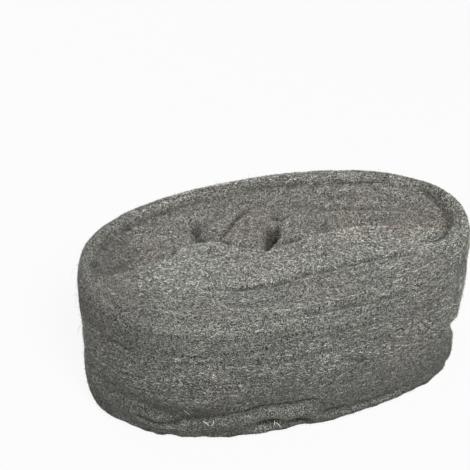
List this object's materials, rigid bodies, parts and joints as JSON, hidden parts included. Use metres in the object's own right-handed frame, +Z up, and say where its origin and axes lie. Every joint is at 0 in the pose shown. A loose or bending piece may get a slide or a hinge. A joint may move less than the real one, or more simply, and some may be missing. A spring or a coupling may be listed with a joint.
{
  "type": "steel wool pad",
  "caption": "Strip of steel wool wound flat into an oval roll that stands on its edge.",
  "frame": {"origin": "middle of the oval roll, on the surface it stands on", "axes": "+X along the roll's length, +Y away from the side with the strip's outer end, +Z up out of the wound turns"},
  "size_m": [0.2092, 0.116, 0.085],
  "materials": {
    "steel_wool": "dull grey mass of fine steel fibres with small glints"
  },
  "bodies": {
    "root": {"wool_roll": "steel_wool"}
  },
  "joints": []
}
